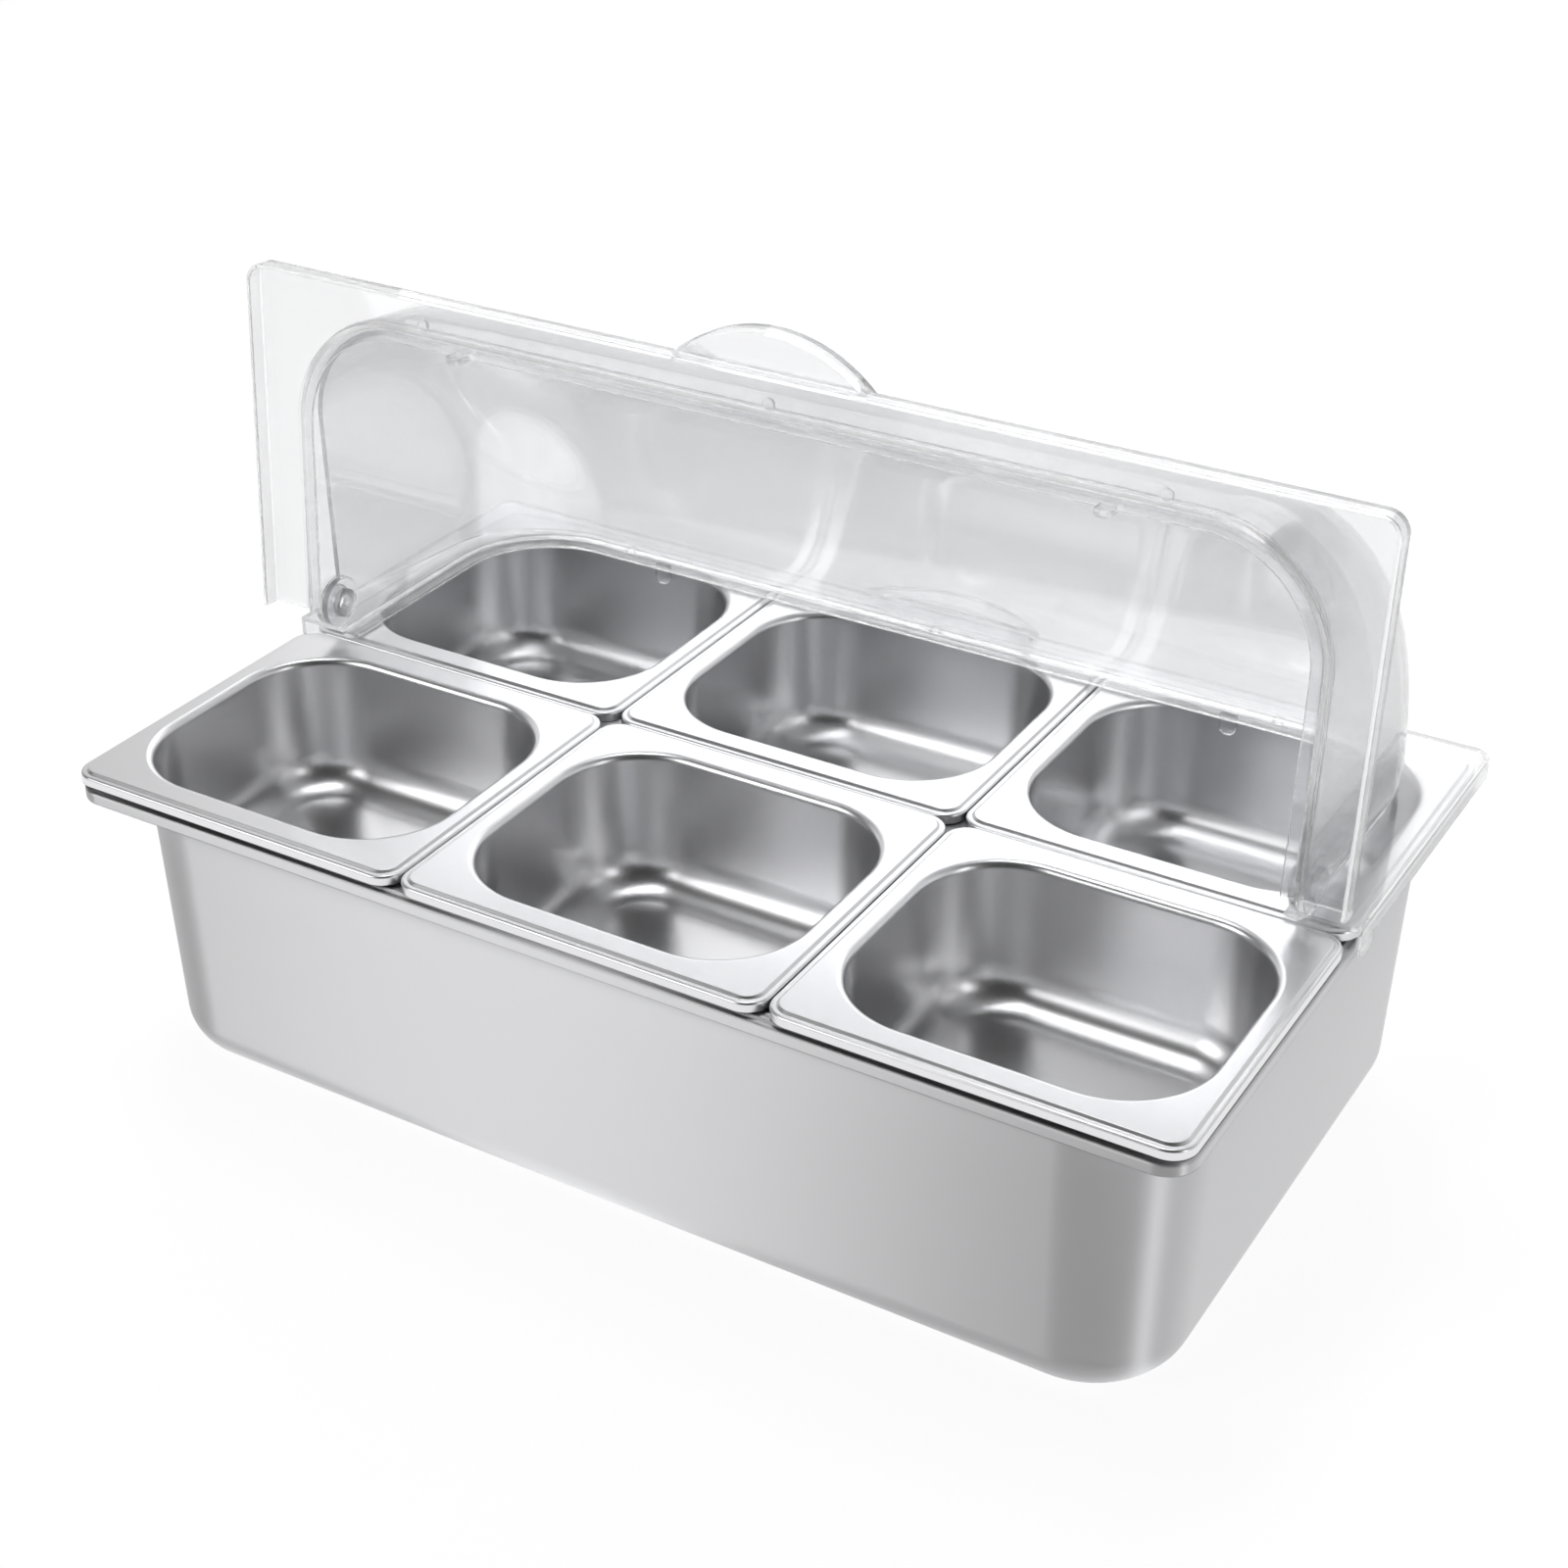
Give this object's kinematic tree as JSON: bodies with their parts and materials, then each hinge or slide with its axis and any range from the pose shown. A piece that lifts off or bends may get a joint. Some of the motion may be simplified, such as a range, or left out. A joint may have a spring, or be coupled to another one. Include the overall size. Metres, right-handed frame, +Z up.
{
  "type": "condiment container",
  "caption": "Free-standing condiment container: a deep steel base, small steel pans hung in its mouth and a clear domed cover whose front half folds back over the rear half.",
  "frame": {"origin": "middle of the base's flat underside, where it stands", "axes": "+Z up, +X along the long side (the viewer's right when facing the open front), +Y to the back"},
  "size_m": [0.5376, 0.3461, 0.3534],
  "materials": {
    "steel": "bright satin stainless steel",
    "clear_cover": "clear, polished",
    "clear_fitting": "clear, slightly frosted"
  },
  "bodies": {
    "base": {"base_pan": "steel", "support_bar": "steel", "rear_left_pan": "steel", "rear_middle_pan": "steel", "rear_right_pan": "steel"},
    "cover_hinge": {"left_hinge_pin": "clear_fitting", "right_hinge_pin": "clear_fitting", "left_pin_cap": "clear_fitting", "right_pin_cap": "clear_fitting"},
    "rear_cover": {"rear_lid": "clear_cover"},
    "front_cover": {"front_lid": "clear_cover"},
    "front_left_pan": {"front_left_pan": "steel"},
    "front_middle_pan": {"front_middle_pan": "steel"},
    "front_right_pan": {"front_right_pan": "steel"}
  },
  "joints": [
    {"name": "cover_lift", "type": "slide", "parent": "base", "child": "cover_hinge", "axis": [0, 0, 1], "range_m": [0, 0.25]},
    {"name": "rear_cover_hinge", "type": "hinge", "parent": "cover_hinge", "child": "rear_cover", "pos_m": [0, 0, 0.1688], "axis": [1, 0, 0], "range_deg": [0, 94]},
    {"name": "front_cover_hinge", "type": "hinge", "parent": "rear_cover", "child": "front_cover", "pos_m": [0, 0, 0.1688], "axis": [-1, 0, 0], "range_deg": [-94, 0]},
    {"name": "front_middle_pan_lift", "type": "slide", "parent": "base", "child": "front_middle_pan", "axis": [0, 0, 1], "range_m": [0, 0.09]},
    {"name": "front_left_pan_tilt", "type": "hinge", "parent": "base", "child": "front_left_pan", "pos_m": [0, -0.0003, 0.1498], "axis": [-1, 0, 0], "range_deg": [0, 7]},
    {"name": "front_right_pan_tilt", "type": "hinge", "parent": "base", "child": "front_right_pan", "pos_m": [0, -0.0003, 0.1498], "axis": [-1, 0, 0], "range_deg": [0, 7]}
  ]
}
